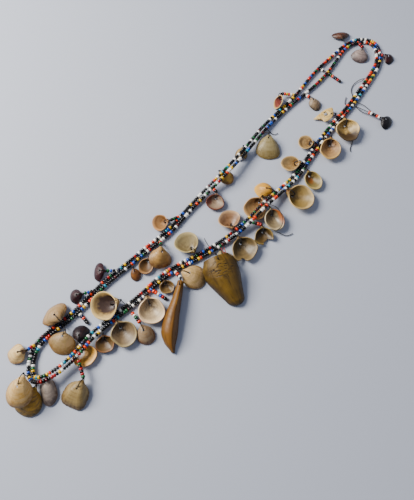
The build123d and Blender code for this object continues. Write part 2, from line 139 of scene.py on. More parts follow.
# Bead colours, and how often each is threaded between runs of black
BEAD_COLOURS = {
    "black": "#050404", "white": "#f6f3ea", "red": "#a3140f", "dark_red": "#4a0c0d", "orange": "#e03a08",
    "yellow": "#e6b400", "green": "#0f5a2c", "blue": "#1f4fb0", "navy": "#0d1638", "turquoise": "#1c8fa8",
}
ACCENTS = {
    "white": 16, "red": 6, "dark_red": 4, "orange": 9, "yellow": 9, "green": 7, "blue": 7,
    "navy": 3, "turquoise": 3,
}

# Beaded drops: the colours from the string outwards to each piece. The others hang on bare thread
DROPS = {
    "shell_02_grey_fan": "black red black red white black",
    "shell_03_grey_oval": "black white orange black",
    "shell_04_maroon_cup": "yellow white orange yellow orange black",
    "shell_08_white_pink_cup": "orange black orange black",
    "shell_09_tan_cup": "orange black green black",
    "shell_10_tan_dome": "orange black green black",
    "shell_13_purple_dome": "black blue green yellow white",
    "shell_15_dark_red_dome": "black blue green black",
    "shell_16_banded_dome": "black black blue black",
    "shell_19_cream_brown_band": "yellow red blue black",
    "shell_23_green_cream": "red green black red black",
    "shell_27_cream_red_marks": "orange white green black",
    "shell_35_broken_cup": "green black orange red",
    "shell_45_black_dome": "orange white black black",
    "shell_46_dark_round": "red white red black",
    "horn_slim": "white red orange black",
}
BareDrop = namedtuple("BareDrop", "string start end colours")
BARE_DROPS = [
    BareDrop("outer", (119.3, 29.4), (119.6, 25.9), "black white"),
    BareDrop("inner", (119.6, 23.0), (120.2, 11.6), "black green orange navy black red black red"),
    BareDrop("outer", (-71.0, 1.6), (-68.4, -8.8), "orange orange white blue red black green"),
    BareDrop("inner", (-106.8, 21.0), (-108.0, 13.6), "white navy orange black black"),
]

# Loose threads: their string and the points that they pass
LooseThread = namedtuple("LooseThread", "string colour points")
LOOSE_THREADS = [
    LooseThread("inner", "black", [
        (130.7, 1.5, 1.5), (133.9, 0.5, 1.5), (131.1, 3.2, 0.8), (124.9, 4.3, 0.3), (119.7, 2.6, 0.3),
        (117.1, -0.7, 0.3), (114.1, -3.7, 0.5)]),
    LooseThread("inner", "black", [
        (112.9, 1.3, 0.4), (109.6, 0.0, 0.4), (106.9, -2.4, 0.4), (108.4, -3.4, 0.4)]),
    LooseThread("outer", "black", [
        (113.0, -4.9, 1.2), (114.1, -8.8, 1.6), (115.2, -13.1, 1.2), (113.9, -20.2, 0.9)]),
    LooseThread("outer", "black", [
        (111.6, -4.9, 1.2), (109.5, -11.1, 1.2), (110.2, -15.6, 0.9), (112.7, -20.7, 0.9)]),
    LooseThread("outer", "black", [
        (97.5, -6.2, 1.2), (94.0, -14.5, 0.3), (89.3, -22.4, 0.3), (85.8, -23.5, 0.3),
        (81.9, -24.8, 0.3), (80.8, -26.4, 0.3)]),
    LooseThread("inner", "black", [(55.1, 26.5, 4.5), (49.4, 26.4, 3.0), (44.3, 26.5, 1.2)]),
    LooseThread("inner", "black", [(55.1, 25.4, 4.5), (49.4, 25.3, 3.0), (44.2, 25.5, 1.2)]),
    LooseThread("inner", "black", [
        (55.2, 24.8, 4.0), (56.4, 22.1, 2.0), (56.6, 19.5, 0.5), (57.6, 16.9, 0.3), (59.9, 16.7, 0.3)]),
    LooseThread("inner", "black", [
        (-30.1, -5.8, 5.0), (-29.7, -5.1, 5.0), (-29.0, -2.4, 5.0), (-27.8, 0.1, 4.5)]),
    LooseThread("outer", "black", [
        (14.4, -12.8, 6.0), (14.4, -14.4, 6.0), (16.0, -17.9, 6.0), (15.0, -22.8, 5.5),
        (11.7, -27.2, 5.0), (7.1, -28.4, 4.0), (4.7, -26.2, 2.0), (3.9, -23.4, 1.0)]),
    LooseThread("outer", "black", [
        (4.3, -24.8, 3.0), (6.0, -29.9, 1.2), (8.2, -34.4, 0.3), (11.6, -35.1, 0.3)]),
    LooseThread("outer", "red", [
        (-25.5, -11.0, 4.0), (-28.6, -17.5, 7.2), (-27.8, -18.0, 7.2), (-24.1, -12.1, 4.0)]),
]

# Horn sheaths, with the solids' stations. share: of the length; bow and half_width: shares of
# the width; height: share of the height. crest: where it runs round the arch, in radians;
# ridge_height and ridge_end: how far the ridges near its open end stand up and reach
Horn = namedtuple("Horn", "name x y heading length width height lean string crest ridge_height "
                          "ridge_end stations roll lead", defaults=(0, 0))
Station = namedtuple("Station", "share bow half_width height")
HORNS = [
    Horn("horn_slim", -55.8, -7.6, -146, 40.0, 9.4, 6.4, 3, "outer", 1.1, 0.008, 0.3, [
        Station(0.00, 0.00, 0.20, 0.60),
        Station(0.25, -0.05, 0.29, 0.85),
        Station(0.50, -0.14, 0.42, 1.00),
        Station(0.75, -0.13, 0.50, 0.95),
        Station(0.90, 0.03, 0.32, 0.65),
        Station(1.00, 0.28, 0.10, 0.30),
    ]),
    Horn("horn_broad", -32.3, -13.0, -115, 30.0, 20.0, 7.5, 10, "outer", 1.75, 0.012, 0.5, [
        Station(0.00, 0.00, 0.38, 0.80),
        Station(0.15, 0.00, 0.49, 1.00),
        Station(0.40, 0.00, 0.50, 1.00),
        Station(0.70, 0.04, 0.36, 0.80),
        Station(0.92, 0.08, 0.25, 0.50),
        Station(0.98, 0.09, 0.16, 0.36),
        Station(1.00, 0.09, 0.06, 0.18),
    ]),
]

# The star fragment, and its corners round its hole: turn in degrees, and reach
Star = namedtuple("Star", "name x y heading lean string roll lead", defaults=(0, 0))
STAR = Star("shell_47_star_fragment", 94.2, -2.0, 130, 12, "inner")
STAR_CORNERS = [(180, 4.6), (125, 4.4), (72, 6.0), (45, 4.2), (19, 9.5), (-30, 4.2), (-80, 4.4), (-125, 7.0)]

# One row for each shell. Its place and form are those of the solid, and one whose name ends in
# cup lies with its hollow up. coat: the colours of its outside, growth bands, rays, margin and
# beak; lining: of its inside, of the painted shade towards the depth of the cup (which its rings
# and rays there share) and of a stain there; ribs: how many raised rays it has; rise: their
# height as a share; lead: how far along the string its drop starts; around, along: where the
# stain lies round the ring and along the growth; spread: how far it spreads
Shell = namedtuple("Shell", "name x y heading length width depth widest lean string coat lining "
                            "ribs rise roll lead around along spread",
                   defaults=(0, 0, 0, 0, 0.5, -1.0, 1.0))
SHELLS = [
    Shell("shell_01_dark_fan", 149.7, 33.0, 50, 8, 12.4, 0.3, 0.6, 14, "outer",
          "#583420 #301810 #744830 #20100c #685440", "#784834 #50281c #240c0c", ribs=20, rise=0.03),
    Shell("shell_02_grey_fan", 151.2, 17.0, -160, 10.2, 11.4, 0.26, 0.58, 12, "inner",
          "#948078 #706058 #7c6c64 #302424 #a8948c", "#807870 #605450 #302424", ribs=20, rise=0.02),
    Shell("shell_03_grey_oval", 94.2, 17.3, -100, 9.4, 8.1, 0.28, 0.5, 12, "inner",
          "#947c60 #705c40 #806c4c #2c2820 #ac9474", "#887860 #685440 #2c2820"),
    Shell("shell_04_maroon_cup", 82.1, 33.9, -151, 10.8, 7.5, 0.3, 0.52, 10, "outer",
          "#8c503c #703028 #a4603c #d8b470 #8c503c", "#8c4838 #6c2c28 #480c14", roll=40, lead=-6,
          around=-0.2, along=0.3, spread=1.5),
    Shell("shell_05_cream_fan", 52.7, 18.8, -143, 16, 14.7, 0.24, 0.64, 9, "inner",
          "#908058 #807044 #746838 #6c5828 #78541c", "#a89470 #88784c #6c5828", ribs=26, rise=0.015),
    Shell("shell_06_tan_fragment", 35.7, 25.5, -151, 10.4, 7.8, 0.24, 0.55, 8, "outer",
          "#a88848 #806020 #947030 #342820 #bca878", "#b09460 #806020 #342820"),
    Shell("shell_07_tan_round", 11.9, 23.6, -88, 10.2, 9.2, 0.26, 0.5, 8, "outer",
          "#c89c38 #a07c34 #b88834 #5c3c20 #d8c490", "#cca860 #a07c34 #5c3c20"),
    Shell("shell_08_white_pink_cup", -0.9, 15.0, -147, 10.6, 11.1, 0.28, 0.5, 10, "inner",
          "#8c6444 #744c34 #80583c #5c2008 #9c7458", "#8c7860 #7c5c48 #5c2008", around=0.3, along=0.12),
    Shell("shell_09_tan_cup", -33.7, 24.2, 144, 9.9, 10.8, 0.28, 0.5, 10, "outer",
          "#905c28 #704010 #7c5018 #c4905c #a47440", "#90683c #744818 #58300c", lead=-4),
    Shell("shell_10_tan_dome", -49.4, 15.0, -137, 12.8, 13.4, 0.3, 0.5, 9, "inner",
          "#ac8448 #886020 #987038 #583818 #b4946c", "#bc9868 #987038 #60401c", roll=-22, lead=-2),
    Shell("shell_11_tan_cup", -58.2, 16.0, -152, 9.8, 8.8, 0.24, 0.5, 6, "inner",
          "#684010 #503010 #5c3410 #a07444 #7c5420", "#604420 #442408 #34200c"),
    Shell("shell_12_small_brown", -68.6, 18.0, -115, 7.7, 6, 0.28, 0.5, 14, "inner",
          "#7c4c1c #5c3818 #6c441c #3c2410 #986028", "#885828 #5c3818 #3c2410"),
    Shell("shell_13_purple_dome", -81.0, 28.8, 133, 6.8, 11.5, 0.34, 0.5, 16, "outer",
          "#340c10 #20040c #2c0810 #180408 #5c282c", "#502024 #2c0810 #180408", lead=-4),
    Shell("shell_14_yellow_cup", -88.3, 9.9, 154, 15, 17.2, 0.32, 0.55, 8, "inner",
          "#a8844c #8c682c #9c743c #e0c07c #b4945c", "#c0a060 #a07c3c #200a18", around=0.08, along=0.33,
          spread=1.7),
    Shell("shell_15_dark_red_dome", -99.0, 28.0, 148, 7.6, 8.6, 0.34, 0.5, 14, "outer",
          "#2c0404 #0c0404 #1c0404 #080404 #481414", "#3c1414 #1c0404 #080404", lead=-4),
    Shell("shell_16_banded_dome", -117.8, 9.2, 43, 9.6, 9.2, 0.32, 0.5, 12, "inner",
          "#201014 #08040c #402818 #10080c #281818", "#342820 #201014 #0c0404"),
    Shell("shell_17_cream_pink_dome", -117.2, 24.5, 89, 12, 15.8, 0.32, 0.52, 20, "inner",
          "#9c7c50 #886c40 #94744c #78542c #b8a078", "#b49064 #a47444 #703c0c", ribs=22, rise=0.012),
    Shell("shell_18_flat_cream", -119.6, 18.8, -149, 12.5, 15.2, 0.24, 0.5, 11, "inner",
          "#947850 #80683c #8c7440 #745424 #a4885c", "#b49058 #9c7840 #74501c"),
    Shell("shell_19_cream_brown_band", -140.8, 26.5, 150, 10.8, 10.2, 0.32, 0.5, 12, "outer",
          "#dcbc80 #c49c5c #d0ac70 #a87c44 #4c280c", "#d0b07c #a47c44 #48240c", lead=-4),
    Shell("shell_20_peach_dome", -149.0, 14.4, -151, 16.3, 13.6, 0.32, 0.5, 10, "outer",
          "#cca86c #b48430 #c09854 #80581c #d4b888", "#d4bc8c #ac8044 #6c441c"),
    Shell("shell_21_brown_ridged", -149.8, 7.5, -164, 15.2, 15.8, 0.3, 0.5, 8, "outer",
          "#ac8024 #6c5020 #8c6420 #403418 #bc9828", "#b89838 #786020 #403418"),
    Shell("shell_22_silver_narrow", -141.6, 8.0, -126, 15.6, 9.5, 0.24, 0.5, 4, "inner",
          "#9c8c7c #70645c #84786c #4c3c34 #a89888", "#988478 #685c50 #403830"),
    Shell("shell_23_green_cream", -130.4, -8.1, -164, 15.6, 14.1, 0.3, 0.5, 9, "outer",
          "#947c4c #7c6438 #847040 #442c10 #503810", "#a08c50 #7c682c #382004", ribs=22, rise=0.015, lead=3),
    Shell("shell_24_amber_cup", -117.7, 6.9, -122, 12.3, 12.8, 0.24, 0.5, 4, "inner",
          "#9c7428 #785824 #8c6024 #e4a850 #c49034", "#c49034 #785824 #fcfcfc", around=0.22, along=0.28),
    Shell("shell_25_brown_cup", -106.8, 2.1, -121, 9.6, 10.8, 0.28, 0.5, 8, "outer",
          "#482c0c #341c08 #402408 #7c5028 #5c3814", "#584018 #382008 #241808"),
    Shell("shell_26_grey_cream_cup", -96.4, 1.4, -107, 15, 14.6, 0.28, 0.5, 8, "outer",
          "#705830 #5c4820 #64502c #9c885c #7c643c", "#746044 #58442c #583c18"),
    Shell("shell_27_cream_red_marks", -88.7, -9.4, -110, 11.2, 10.3, 0.32, 0.5, 12, "outer",
          "#947c5c #84643c #5c2c0c #5c3008 #805824", "#ac946c #8c7040 #542c0c", ribs=20, rise=0.012),
    Shell("shell_28_white_cup", -75.5, -0.8, -117, 15.8, 15.2, 0.3, 0.5, 8, "outer",
          "#ac8c54 #987440 #a4804c #ecc89c #b89460", "#b8a078 #8c7458 #986c34"),
    Shell("shell_29_small_brown_cup", -61.6, -0.4, -117, 8, 8.6, 0.3, 0.5, 8, "outer",
          "#502c08 #402404 #442804 #806438 #5c3c10", "#604820 #402808 #3c200c", ribs=14, rise=0.02,
          around=0.3, along=0.3),
    Shell("shell_30_fine_ribbed", -51.3, -4.6, -66, 14.4, 14.2, 0.32, 0.5, 9, "outer",
          "#c4a06c #ac8c4c #9c7c3c #805c24 #c8ac80", "#bca070 #987438 #6c4c1c", ribs=28, rise=0.02),
    Shell("shell_31_pale_hidden", -27.1, -12.0, -119, 15.1, 14.6, 0.26, 0.5, 9, "outer",
          "#908058 #806c40 #88744c #8c6c38 #c0b080", "#b8a070 #a08450 #785824"),
    Shell("shell_32_cream_grey_cup", -37.4, -1.0, 83, 14.2, 14.3, 0.28, 0.5, 8, "inner",
          "#88703c #705c2c #806834 #bca874 #947c48", "#84744c #6c5834 #685024"),
    Shell("shell_33_grey_chipped_cup", -13.6, -14.2, -112, 15.2, 15.9, 0.28, 0.5, 8, "outer",
          "#584420 #483418 #503c1c #887044 #684c28", "#685430 #4c3c20 #342810"),
    Shell("shell_34_tan_pink_cup", -11.2, -7.3, 61, 12.4, 13.6, 0.28, 0.5, 8, "inner",
          "#8c6034 #744c20 #805828 #c0986c #947444", "#886444 #64401c #5c3410"),
    Shell("shell_35_broken_cup", 1.3, -19.9, -130, 11.4, 11.6, 0.3, 0.58, 8, "outer",
          "#5c4010 #483004 #543c0c #8c743c #68501c", "#54401c #342004 #402c10", lead=-3, around=0.45,
          along=0.5),
    Shell("shell_36_triangular_cup", 15.8, -6.6, -165, 15.4, 13.3, 0.24, 0.6, 4, "inner",
          "#885c28 #744818 #7c5420 #c49860 #986c38", "#9c7848 #785020 #4a2c16", around=0.3, along=0.42),
    Shell("shell_37_crumpled_cup", 13.5, -15.8, -121, 14.6, 11.9, 0.28, 0.5, 8, "outer",
          "#7c6c48 #685838 #746040 #b4a078 #887854", "#807050 #645038 #98541c", around=-0.33, along=0.04),
    Shell("shell_38_yellow_ribbed", 23.4, -8.8, 113, 11.4, 10.6, 0.32, 0.52, 12, "inner",
          "#c48c28 #b48028 #a47024 #d4a03c #382010", "#c4902c #946820 #543814", ribs=20, rise=0.035),
    Shell("shell_39_large_cream_cup", 29.6, -16.0, -76, 17, 16.3, 0.3, 0.5, 8, "outer",
          "#98783c #846428 #907030 #c8a86c #683c08", "#88703c #70541c #54381c", along=0.5),
    Shell("shell_40_streaked_cup", 49.3, -16.2, -113, 13, 11, 0.26, 0.5, 8, "outer",
          "#846830 #745820 #7c6028 #b49c5c #90743c", "#786838 #644818 #8c5018", around=0.12, along=0.3),
    Shell("shell_41_cream_tan_cup", 50.8, -8.4, 139, 12.2, 10.4, 0.32, 0.5, 8, "inner",
          "#947438 #805c24 #88682c #cca86c #a48044", "#a08454 #7c541c #54340c"),
    Shell("shell_42_notched_cup", 77.6, -12.0, -145, 15.6, 13.5, 0.3, 0.5, 8, "outer",
          "#84581c #6c4810 #785014 #c49c58 #906428", "#9c784c #745438 #3c200c", around=0.1, along=0.5,
          spread=0.8),
    Shell("shell_43_brown_centre_cup", 68.4, -5.4, 128, 9.7, 10.3, 0.3, 0.5, 8, "inner",
          "#886028 #704c14 #80541c #cca86c #987034", "#a08050 #583810 #3c2412", around=0, along=0.5),
    Shell("shell_44_dark_edged_cup", 95.2, -9.6, -127, 16.4, 16.2, 0.28, 0.52, 8, "outer",
          "#a4803c #906824 #9c7430 #e4c07c #b08c44", "#c0a060 #987838 #24120a", around=0.02, along=0.0,
          spread=1.25),
    Shell("shell_45_black_dome", 113.2, -26.5, -81, 7.6, 10.7, 0.32, 0.5, 14, "outer",
          "#080408 #10080c #0c0808 #040404 #140c14", "#10080c #040404 #040404"),
    Shell("shell_46_dark_round", 157.7, 2.4, -80, 6.8, 8.9, 0.32, 0.5, 14, "outer",
          "#300808 #140404 #3c080c #100404 #501014", "#3c0c0c #1c0408 #100404"),
]

# Shells whose beak is dark from further out along the growth, and where the others' beaks start
DARK_BEAKS = {"shell_19_cream_brown_band": 0.52, "shell_23_green_cream": 0.62}
BEAK_START = 0.76

# Margins that leave the oval: where round the ring in degrees, and how far out, as a share of the length
OUTLINES = {
    "shell_14_yellow_cup": [(0, 0.03), (65, -0.03), (-65, -0.03)],
    "shell_19_cream_brown_band": [(120, 0.05), (-120, 0.05)],
    "shell_23_green_cream": [(0, -0.03), (55, 0.04), (-55, 0.04)],
    "shell_33_grey_chipped_cup": [(70, 0.03), (-40, -0.03)],
    "shell_44_dark_edged_cup": [(55, -0.04), (-55, -0.04), (105, 0.03), (-105, 0.03)],
}

# Shells whose growth lines stand up more than the others
RIDGED = {"shell_21_brown_ridged": 2.6, "shell_16_banded_dome": 1.8, "shell_22_silver_narrow": 1.6}

# Broken edges of the solids: where the bite lies along and across the mouth, and its radius
BITES = {
    "shell_06_tan_fragment": (10.9, 2.9, 3.2),
    "shell_33_grey_chipped_cup": (14.9, 4.4, 1.6),
    "shell_35_broken_cup": (12.3, -3.2, 4.2),
    "shell_42_notched_cup": (16.2, 1.0, 1.6),
}


def linear(code, strength=1.0):
    """A colour's sRGB hex code as linear red, green, blue and alpha."""
    parts = [int(code[i:i + 2], 16) / 255 for i in (1, 3, 5)]
    return [strength * (p / 12.92 if p <= 0.04045 else ((p + 0.055) / 1.055) ** 2.4) for p in parts] + [1.0]


def add(tree, kind, sockets, out=0, **settings):
    """Adds one node with its settings and the links or values of its sockets, and gives an output."""
    node = tree.nodes.new("ShaderNode" + kind)
    for name, value in settings.items():
        setattr(node, name, value)
    for socket, value in sockets.items():
        if isinstance(value, bpy.types.NodeSocket):
            tree.links.new(value, node.inputs[socket])
        else:
            node.inputs[socket].default_value = value
    return node.outputs[out] if node.outputs else None


def new_material(name):
    """An empty material and its node tree."""
    material = bpy.data.materials.new(name)
    material.use_nodes = True
    material.node_tree.nodes.clear()
    return material, material.node_tree


def finish_surface(tree, sockets):
    """The material's shader with its sockets, linked to the output."""
    add(tree, "OutputMaterial", {"Surface": add(tree, "BsdfPrincipled", sockets)})


def total(tree, *parts, start=0.0):
    """The sum of several patterns, each by its weight."""
    value = start
    for part, weight in parts:
        value = add(tree, "Math", {0: part, 1: weight, 2: value}, operation="MULTIPLY_ADD")
    return value


def grown(tree):
    """The growth map of a piece, how far round and how far along it is, and the piece's own place."""
    growth = add(tree, "UVMap", {}, uv_map="growth")
    around, along, _ = add(tree, "SeparateXYZ", {0: growth}).node.outputs
    return growth, around, along, add(tree, "TexCoord", {}, out="Object")


def grain(tree, growth, turns, steps, seed, detail=2.0, roughness=0.5):
    """A streaky pattern that changes so many times round the ring and along the growth."""
    place = add(tree, "VectorMath", {0: growth, 1: (turns, steps, 0), 2: (0, 0, seed)},
                operation="MULTIPLY_ADD")
    return add(tree, "TexNoise", {"Vector": place, "Scale": 1.0, "Detail": detail, "Roughness": roughness})


def paint(tree, colour, coat, value, low, high, most=1.0, mask=None):
    """Lays a coat over a colour as a value goes from low to high, at most by a share."""
    share = add(tree, "MapRange", {0: value, 1: low, 2: high, 3: 0.0, 4: most})
    if mask is not None:
        share = add(tree, "Math", {0: share, 1: mask}, operation="MULTIPLY")
    return add(tree, "Mix", {0: share, 6: colour, 7: coat}, out=2, data_type="RGBA")


def shell_outside(shell):
    """The outside of a valve: chalky aragonite with growth bands, rays and a darker margin. It is
    dry and worn, so it shines softly, and its growth lines catch the light."""
    material, tree = new_material(shell.name + "_outside")
    coat = shell.coat.split()
    outside, band, ray, margin, beak = [linear(code) for code in coat]
    seed = float(shell.name[6:8])
    growth, around, along, place = grown(tree)
    # growth bands about 1 mm apart, fine lines about 0.35 mm apart, rays, and mottling about 1.5 mm across
    bands = grain(tree, growth, 3.0, shell.length * 1.1, seed, 3.0, 0.6)
    lines = grain(tree, growth, 5.0, shell.length * 3.6, seed + 3)
    rays = grain(tree, growth, 46.0, 1.4, seed + 7)
    mottle = add(tree, "TexNoise", {"Vector": place, "Scale": 650.0, "Detail": 4.0, "Roughness": 0.65})
    colour = paint(tree, outside, band, bands, 0.44, 0.62)
    colour = paint(tree, colour, ray, rays, 0.52, 0.70, 0.75)
    edge = total(tree, (along, 1.0), (mottle, 0.10))
    colour = paint(tree, colour, margin, edge, 0.17, 0.07)
    hinge = total(tree, (add(tree, "Math", {0: around}, operation="ABSOLUTE"), 1.0), (mottle, 0.05))
    colour = paint(tree, colour, beak, hinge, 0.41, 0.46, 0.9)
    start = DARK_BEAKS.get(shell.name, BEAK_START)
    colour = paint(tree, colour, beak, edge, start, start + 0.12)
    colour = paint(tree, colour, linear(coat[0], 1.25), mottle, 0.35, 0.75, 0.35)
    height = total(tree, (lines, 0.7), (bands, 0.8), (rays, 0.55), (mottle, 0.35))
    finish_surface(tree, {
        "Base Color": colour, "IOR": 1.53, "Specular IOR Level": 0.35,
        "Roughness": add(tree, "MapRange", {0: mottle, 1: 0.3, 2: 0.7, 3: 0.3, 4: 0.5}),
        "Normal": add(tree, "Bump", {"Strength": 0.75, "Distance": 0.00028, "Height": height}),
    })
    return material


def shell_inside(shell):
    """The inside of a valve: smooth porcelain-like nacre layer with a stain, so it shines more
    than the outside. It is painted darker towards the depth of the cup, as painted shade."""
    material, tree = new_material(shell.name + "_inside")
    lining = shell.lining.split()
    inside, depth_shade_and_marks, stain = [linear(code) for code in lining]
    seed = float(shell.name[6:8])
    growth, around, along, place = grown(tree)
    cloud = add(tree, "TexNoise", {"Vector": place, "Scale": 330.0, "Detail": 4.0, "Roughness": 0.6})
    chalk = add(tree, "TexNoise", {"Vector": place, "Scale": 850.0, "Detail": 5.0, "Roughness": 0.7})
    rings = grain(tree, growth, 2.0, shell.length * 0.9, seed, 3.0)
    rays = grain(tree, growth, 30.0, 1.0, seed + 9)
    # painted shade: the cup is painted darker towards its depth, and its growth rings and rays take the same
    # darker colour; it has chalky patches about 1 mm across on its floor
    colour = paint(tree, inside, depth_shade_and_marks, total(tree, (along, 1.0), (cloud, 0.25)), 0.22, 0.72)
    colour = paint(tree, colour, depth_shade_and_marks, rings, 0.47, 0.62, 0.55)
    colour = paint(tree, colour, depth_shade_and_marks, rays, 0.54, 0.72, 0.4)
    floor = add(tree, "MapRange", {0: total(tree, (along, 1.0), (cloud, 0.2)), 1: 0.18, 2: 0.36})
    colour = paint(tree, colour, linear(lining[0], 1.6), chalk, 0.50, 0.64, 0.55, floor)
    colour = paint(tree, colour, linear(lining[1], 0.6), chalk, 0.48, 0.36, 0.6, floor)
    edge = total(tree, (along, 1.0), (cloud, 0.08))
    colour = paint(tree, colour, linear(shell.coat.split()[3]), edge, 0.10, 0.05, 0.9)
    if shell.along >= 0:
        stretched = add(tree, "VectorMath", {0: growth, 1: (1.0, 1.2, 0.0),
                                             2: (-shell.around, -1.2 * shell.along, 0.0)},
                        operation="MULTIPLY_ADD")
        away = add(tree, "VectorMath", {0: stretched}, out="Value", operation="LENGTH")
        ragged = total(tree, (away, 1 / shell.spread), (cloud, 0.14))
        colour = paint(tree, colour, stain, ragged, 0.30, 0.22, 0.94)
    height = total(tree, (rings, 0.8), (cloud, 0.5), (chalk, 0.4))
    finish_surface(tree, {
        "Base Color": colour, "IOR": 1.53, "Specular IOR Level": 0.4,
        "Roughness": add(tree, "MapRange", {0: cloud, 1: 0.3, 2: 0.7, 3: 0.36, 4: 0.56}),
        "Normal": add(tree, "Bump", {"Strength": 0.5, "Distance": 0.0002, "Height": height}),
    })
    return material


def horn_surface(name, middle, sides, dark, pale, grooves):
    """Old horn, worn smooth: its arch is painted lighter along its crest and darker down its sides,
    as painted highlight and shade, and some grooves, painted darker as shade in them, cross it near its open
    end."""
    material, tree = new_material(name)
    growth, around, along, place = grown(tree)
    cloud = add(tree, "TexNoise", {"Vector": place, "Scale": 95.0, "Detail": 3.0})
    fibres = grain(tree, growth, 14.0, 2.5, 2.0, 4.0, 0.6)
    scratches = add(tree, "TexNoise", {"Vector": place, "Scale": 900.0, "Detail": 3.0})
    # painted light and shade: the arch is darker down both sides and lighter along its crest
    off_middle = add(tree, "Math", {0: total(tree, (around, 1.0), start=-0.5)}, operation="ABSOLUTE")
    aside = total(tree, (off_middle, 1.0), (cloud, 0.35))
    colour = paint(tree, linear(middle), linear(sides), aside, 0.26, 0.60)
    colour = paint(tree, colour, linear(pale), cloud, 0.50, 0.75, 0.6)
    colour = paint(tree, colour, linear(dark), fibres, 0.50, 0.70, 0.65)
    colour = paint(tree, colour, linear(dark), total(tree, (along, 1.0), (cloud, 0.12)), 0.98, 1.08, 0.8)
    # thin grooves about 1.5 mm apart that wander and break off
    cuts = grain(tree, growth, 4.0, 17.0, 5.0)
    line = add(tree, "Math", {0: total(tree, (cuts, 1.0), start=-0.5)}, operation="ABSOLUTE")
    ahead = add(tree, "Math", {0: total(tree, (along, 1.0), start=-0.26)}, operation="ABSOLUTE")
    near = total(tree, (ahead, 1.0), (aside, 0.6))
    region = add(tree, "MapRange", {0: near, 1: 0.36, 2: 0.24, 3: 0.0, 4: grooves})
    cut = add(tree, "MapRange", {0: line, 1: 0.03, 2: 0.008})
    groove = add(tree, "Math", {0: cut, 1: region}, operation="MULTIPLY")
    # the grooves are painted darker, as painted shade in them
    colour = paint(tree, colour, linear(dark, 0.4), groove, 0.0, 1.0)
    height = total(tree, (fibres, 0.4), (scratches, 0.25), (groove, -1.2))
    finish_surface(tree, {
        "Base Color": colour, "IOR": 1.54, "Specular IOR Level": 0.3,
        "Roughness": add(tree, "MapRange", {0: scratches, 1: 0.3, 2: 0.7, 3: 0.40, 4: 0.58}),
        "Normal": add(tree, "Bump", {"Strength": 0.55, "Distance": 0.0004, "Height": height}),
    })
    return material


def star_shell():
    """The star's pale yellow shell: worn dull, a little clear, with faint rings round its hole."""
    material, tree = new_material("star_shell")
    growth, _, _, place = grown(tree)
    cloud = add(tree, "TexNoise", {"Vector": place, "Scale": 380.0, "Detail": 4.0})
    rings = grain(tree, growth, 1.0, 9.0, 1.0)
    colour = paint(tree, linear("#d8b468"), linear("#b48c40"), cloud, 0.36, 0.66)
    colour = paint(tree, colour, linear("#ecd8a0"), rings, 0.5, 0.7, 0.5)
    height = total(tree, (cloud, 1.0), (rings, 1.0))
    bump = add(tree, "Bump", {"Strength": 0.6, "Distance": 0.0003, "Height": height})
    finish_surface(tree, {"Base Color": colour, "Normal": bump, "Roughness": 0.48, "IOR": 1.53})
    return material


def glass(name, code):
    """Opaque pressed glass of a seed bead, glossy and a little scuffed."""
    material, tree = new_material(name + "_glass")
    place = add(tree, "TexCoord", {}, out="Object")
    scuffs = add(tree, "TexNoise", {"Vector": place, "Scale": 1400.0, "Detail": 2.0})
    colour = paint(tree, linear(code, 0.8), linear(code, 1.15), scuffs, 0.0, 1.0)
    rough = add(tree, "MapRange", {0: scuffs, 1: 0.3, 2: 0.7, 3: 0.12, 4: 0.3})
    finish_surface(tree, {"Base Color": colour, "Roughness": rough, "IOR": 1.52})
    return material


def waxed_thread(name, code):
    """Waxed cotton thread, matt, with its twist about 0.4 mm apart."""
    material, tree = new_material(name + "_thread")
    place = add(tree, "TexCoord", {}, out="Object")
    twist = add(tree, "TexNoise", {"Vector": place, "Scale": 2600.0, "Detail": 2.0})
    colour = paint(tree, linear(code, 0.6), linear(code, 1.5), twist, 0.0, 1.0)
    bump = add(tree, "Bump", {"Strength": 0.6, "Distance": 0.0001, "Height": twist})
    finish_surface(tree, {"Base Color": colour, "Normal": bump, "Roughness": 0.72, "IOR": 1.5})
    return material


def growth_rate(shell):
    """How fast a valve shrinks towards its beak, per radian, from its depth."""
    low, high = 0.2, 4.0
    for _ in range(40):
        rate = (low + high) / 2
        if exp(-rate * atan(1 / rate)) / sqrt(1 + rate**2) > shell.depth:
            low = rate
        else:
            high = rate
    return rate


def shell_wall(shell):
    """How thick a shell's wall is before it thins to its margin and beak."""
    return WALL_BASE + WALL_SHARE * shell.length


def mouth(shell):
    """Where a valve's mouth begins at the hinge, and where it is widest."""
    near = BEAK_SHARE * shell.length
    return near, near + (shell.length - near) * shell.widest


def hole_spot(shell, rate, inset=0.0):
    """Where the thread hole is along and above the mouth, so far inside the valve's far side."""
    reach = shell.length * exp(-rate * radians(HOLE_TURN)) - inset
    return reach * cos(radians(HOLE_TURN)), reach * sin(radians(HOLE_TURN))


def ring_place(shell, rate, co):
    """Where a point lies on its valve: turned how far, how far round its ring, and its ring's scale."""
    turn = atan2(co.z, co.x)
    scale = exp(-rate * turn)
    near, widest = mouth(shell)
    reach = hypot(co.x, co.z) / scale - widest
    reach /= (shell.length - widest) if reach > 0 else (widest - near)
    return turn, atan2(co.y / scale / (shell.width / 2), reach) / (2 * pi), scale


def select_only(*pieces):
    """Selects these pieces alone, the first one active."""
    bpy.ops.object.select_all(action="DESELECT")
    for piece in pieces:
        piece.select_set(True)
    bpy.context.view_layer.objects.active = pieces[0]


def edit(piece):
    """Makes a piece the only selected one and opens its mesh."""
    select_only(piece)
    bpy.ops.object.mode_set(mode="EDIT")
    bpy.ops.mesh.select_mode(type="VERT")


def close_edit():
    """Ends the work on an open mesh."""
    bpy.ops.object.mode_set(mode="OBJECT")


